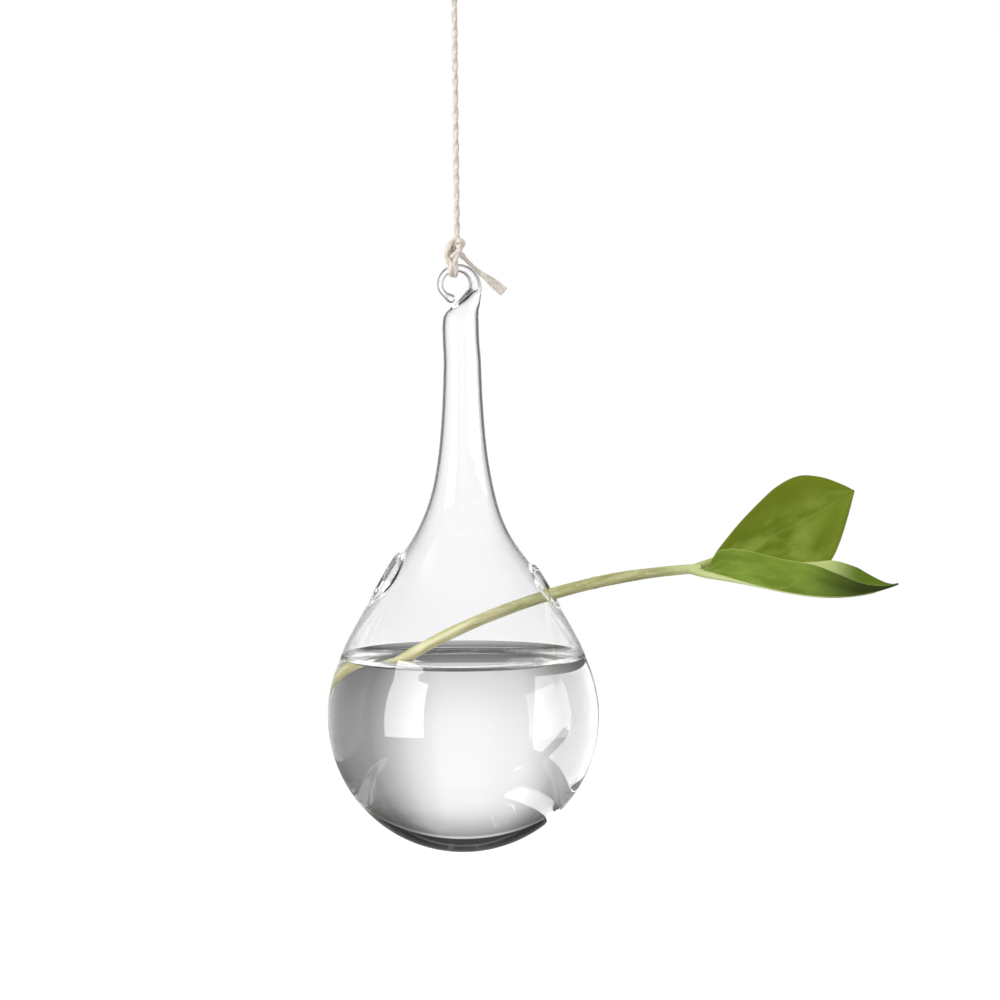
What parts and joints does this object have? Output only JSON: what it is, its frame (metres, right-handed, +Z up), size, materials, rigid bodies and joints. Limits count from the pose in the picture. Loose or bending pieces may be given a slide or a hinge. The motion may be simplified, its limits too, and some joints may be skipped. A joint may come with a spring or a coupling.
{
  "type": "hanging glass ball vase",
  "caption": "Clear blown-glass teardrop vase with side mouths and a glass hook, hung on natural twine, holding water and a cut sprig with leaves.",
  "frame": {"origin": "the point where the twine's hanging loop bears on the nail or hook that holds the vase up", "axes": "+Z up along the twine, +X to the side that the sprig leans out of, -Y to the front as pictured"},
  "size_m": [0.1663, 0.08, 0.2833],
  "materials": {
    "twine": "natural two-ply twine, fibrous and matte",
    "glass": "clear, fire polished",
    "water": "clear water",
    "stem": "pale green stem, satin, mottled",
    "leaf": "green leaf, waxy satin"
  },
  "bodies": {
    "hanger": {"hanging_loop": "twine", "upper_knot": "twine", "upper_tail": "twine"},
    "twine": {"twine_strand": "twine"},
    "tie": {"lower_knot": "twine", "hook_bight": "twine", "twine_tail": "twine"},
    "vase": {"glass_bulb": "glass", "glass_neck": "glass", "hanging_hook": "glass", "left_mouth_rim": "glass", "right_mouth_rim": "glass", "water_fill": "water"},
    "sprig": {"sprig_stem": "stem", "upright_leaf": "leaf", "folded_leaf": "leaf"}
  },
  "joints": [
    {"name": "twine_swing", "type": "hinge", "parent": "hanger", "child": "twine", "pos_m": [0, 0, -0.0244], "axis": [0, 1, 0], "range_deg": [-30, 30]},
    {"name": "vase_twist", "type": "hinge", "parent": "twine", "child": "tie", "pos_m": [0, 0, -0.1007], "axis": [0, 0, 1], "continuous": true},
    {"name": "vase_swing", "type": "hinge", "parent": "tie", "child": "vase", "pos_m": [0, 0, -0.1093], "axis": [1, 0, 0], "range_deg": [-30, 30]},
    {"name": "sprig_draw", "type": "hinge", "parent": "vase", "child": "sprig", "pos_m": [0.0823, -0.00823, -0.39015], "axis": [0.1132, 0.9936, 0], "range_deg": [0, 19]}
  ]
}
